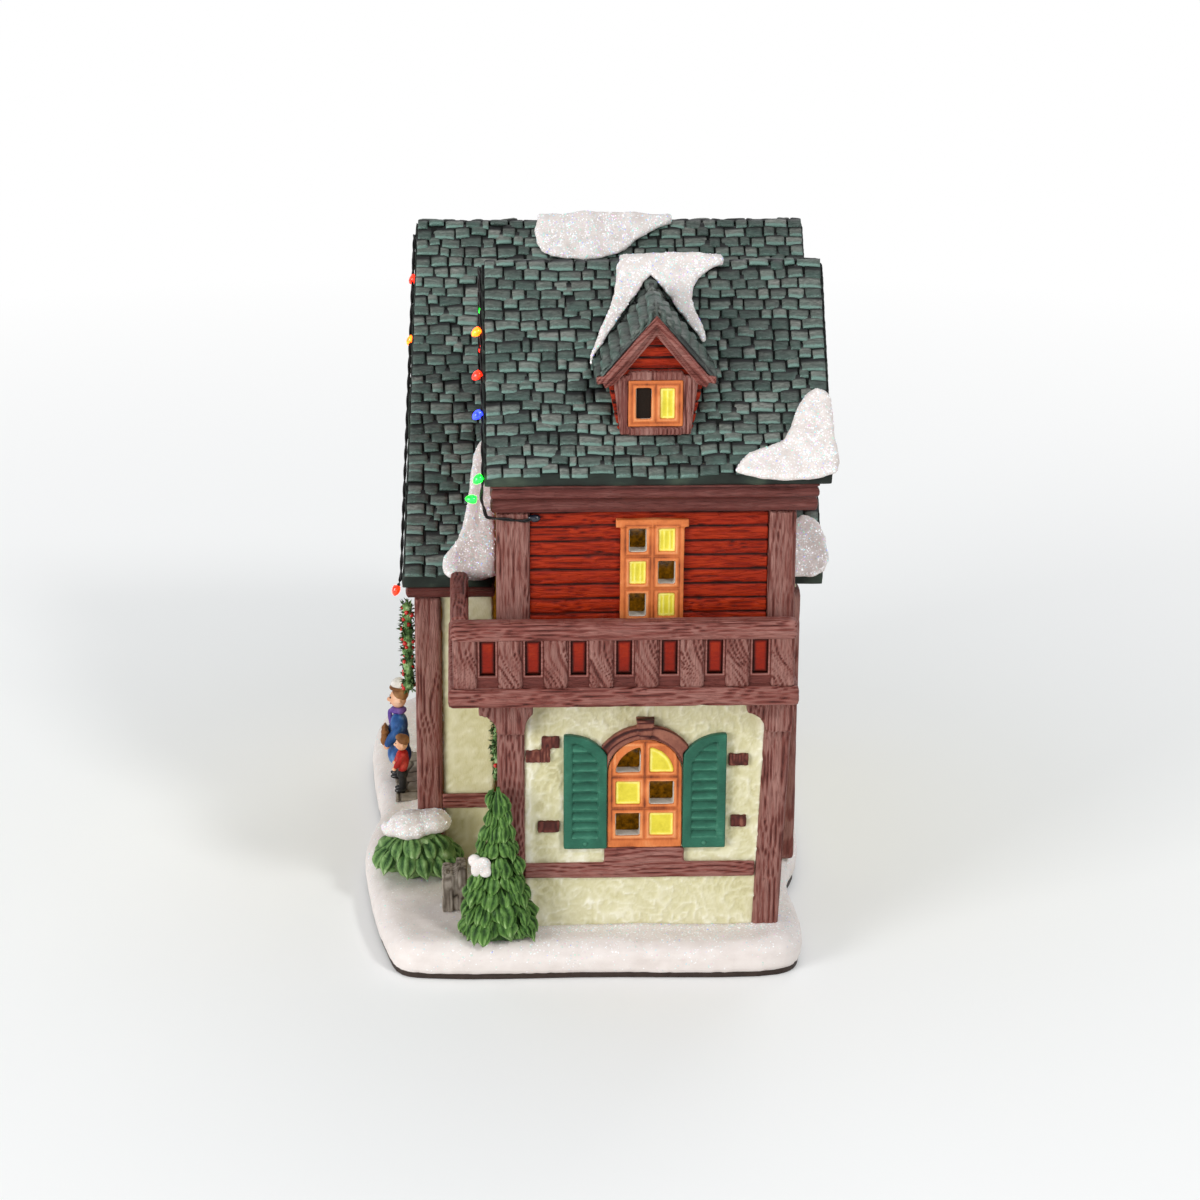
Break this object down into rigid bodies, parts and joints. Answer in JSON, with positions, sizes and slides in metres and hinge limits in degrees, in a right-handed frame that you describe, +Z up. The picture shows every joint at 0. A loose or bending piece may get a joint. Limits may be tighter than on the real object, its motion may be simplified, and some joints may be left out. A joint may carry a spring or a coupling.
{
  "type": "lighted christmas village house",
  "caption": "Free-standing lighted toy village house: gabled main house, tall wing with balcony, arched window and dormer, snowy base with battery bay and switch.",
  "frame": {"origin": "middle of the footprint's bounding box, on the surface that the house stands on", "axes": "+Z up, -Y towards the wing and its balcony, -X towards the main front with the path"},
  "size_m": [0.1516, 0.2258, 0.2237],
  "materials": {
    "timber": "cast resin painted as red-brown weathered timber with dark grain",
    "red_boards": "cast resin painted as deep red boards, glossy, with dark grooves",
    "stucco": "cast resin painted as cream plaster with pale veins",
    "shingles": "cast resin painted as split slate shingles, dark grooves, green-grey faces",
    "snow": "cast resin painted white and coated with fine glitter",
    "orange_frames": "cast resin painted orange-brown, closed panes in yellow",
    "green_shutters": "cast resin painted green with worn pale edges",
    "pale_stone": "cast resin painted as grey stone",
    "dark_stone": "cast resin painted as dark red-brown stone",
    "foliage": "cast resin painted green with pale tips",
    "base_plastic": "injection moulded dark brown plastic",
    "contact_metal": "nickel plated steel",
    "lamp_lens": "warm white lamp lens",
    "light_string": "black insulated lead with small coloured lenses",
    "figure_red": "cast resin figure painted in reds and black",
    "figure_blue": "cast resin figure painted in blues and purples"
  },
  "bodies": {
    "root": {"base_plate": "base_plastic", "snow_base": "snow", "base_screw_front": "contact_metal", "base_screw_back": "contact_metal", "battery_box": "base_plastic", "battery_contact_bridge": "contact_metal", "battery_contact_plus": "contact_metal", "battery_contact_minus": "contact_metal", "switch_body": "base_plastic", "lamp_bulb": "lamp_lens", "main_front_wall": "stucco", "main_back_wall": "stucco", "main_far_wall": "stucco", "main_near_wall": "stucco", "main_post_near": "timber", "main_cornice": "timber", "main_timber": "timber", "main_roof_near_front": "shingles", "main_roof_near_back": "shingles", "main_roof_near_upper": "shingles", "main_roof_far": "shingles", "wing_roof_near": "shingles", "wing_roof_far": "shingles", "wing_wall_lower": "stucco", "wing_wall_upper": "red_boards", "wing_front_wall": "stucco", "wing_back_wall": "stucco", "wing_post_front": "timber", "wing_post_back": "timber", "balcony_deck": "timber", "balustrade_near": "timber", "balustrade_front": "timber", "wing_cornice": "timber", "wing_timber": "timber", "window_frame_lower": "orange_frames", "stone_arch": "dark_stone", "shutter_front": "green_shutters", "shutter_back": "green_shutters", "window_frame_upper": "orange_frames", "dormer_body": "red_boards", "dormer_roof": "shingles", "dormer_window": "orange_frames", "front_door": "timber", "main_ridge_snow": "snow", "wing_ridge_snow": "snow", "wing_corner_snow": "snow", "main_eave_snow": "snow", "main_corner_snow": "snow", "fir_tree": "foliage", "bush": "foliage", "bush_snow": "snow", "paving": "pale_stone", "stone_block": "pale_stone", "figure_child": "figure_red", "figure_adult": "figure_blue", "garland": "foliage", "light_string_wing": "light_string", "light_string_main": "light_string"},
    "battery_door": {"battery_door": "base_plastic"},
    "switch_knob": {"switch_knob": "base_plastic"}
  },
  "joints": [
    {"name": "battery_door_hinge", "type": "hinge", "parent": "root", "child": "battery_door", "pos_m": [0.0061, 0.01128, 0.0012], "axis": [-1, 0, 0], "range_deg": [0, 105]},
    {"name": "switch_slide", "type": "slide", "parent": "root", "child": "switch_knob", "axis": [1, 0, 0], "range_m": [0, 0.004]}
  ]
}
